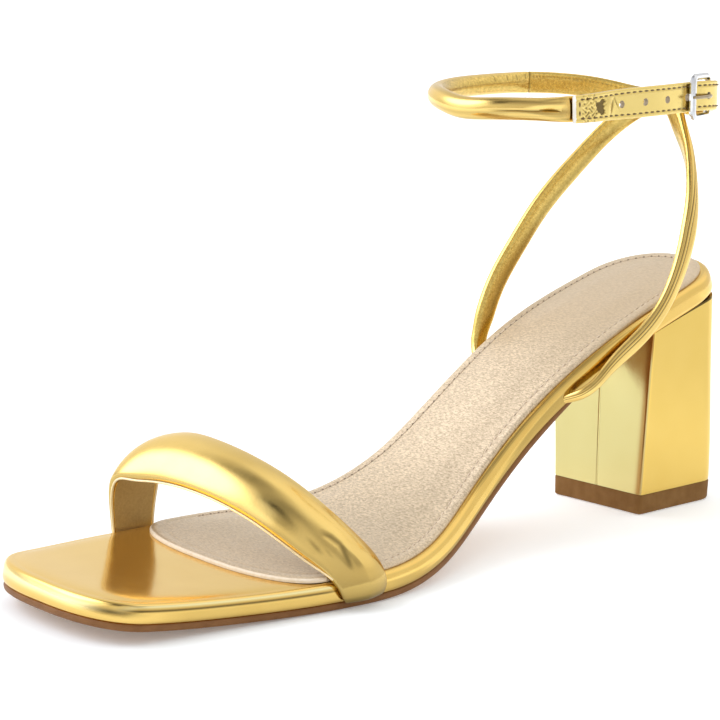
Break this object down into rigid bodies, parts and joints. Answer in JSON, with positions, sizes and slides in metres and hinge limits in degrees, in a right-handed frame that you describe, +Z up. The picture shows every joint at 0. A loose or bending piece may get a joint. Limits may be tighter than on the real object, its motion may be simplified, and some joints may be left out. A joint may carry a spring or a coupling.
{
  "type": "ankle strap heeled sandal",
  "caption": "Left open-toe sandal with a square toe, padded toe strap, buckled ankle strap on slings and a block heel, in gold foil.",
  "frame": {"origin": "bottom centre of the whole sandal, on the floor it stands on", "axes": "+X from heel to toe, +Y to the outer side of a left foot, +Z up"},
  "size_m": [0.2396, 0.0856, 0.1338],
  "materials": {
    "gold_foil": "mirror-like gold foil on coated leather",
    "sock_leather": "champagne metallic leather with fine grain",
    "outsole_rubber": "smooth satin brown",
    "heel_rubber": "matte brown",
    "buckle_metal": "polished silver-coloured metal"
  },
  "bodies": {
    "root": {"outsole": "outsole_rubber", "footbed": "gold_foil", "sock": "sock_leather", "heel_block": "gold_foil", "heel_top_piece": "heel_rubber", "toe_strap": "gold_foil", "ankle_strap": "gold_foil", "buckle_strap": "gold_foil", "buckle_frame": "buckle_metal", "buckle_prong": "buckle_metal"}
  },
  "joints": []
}
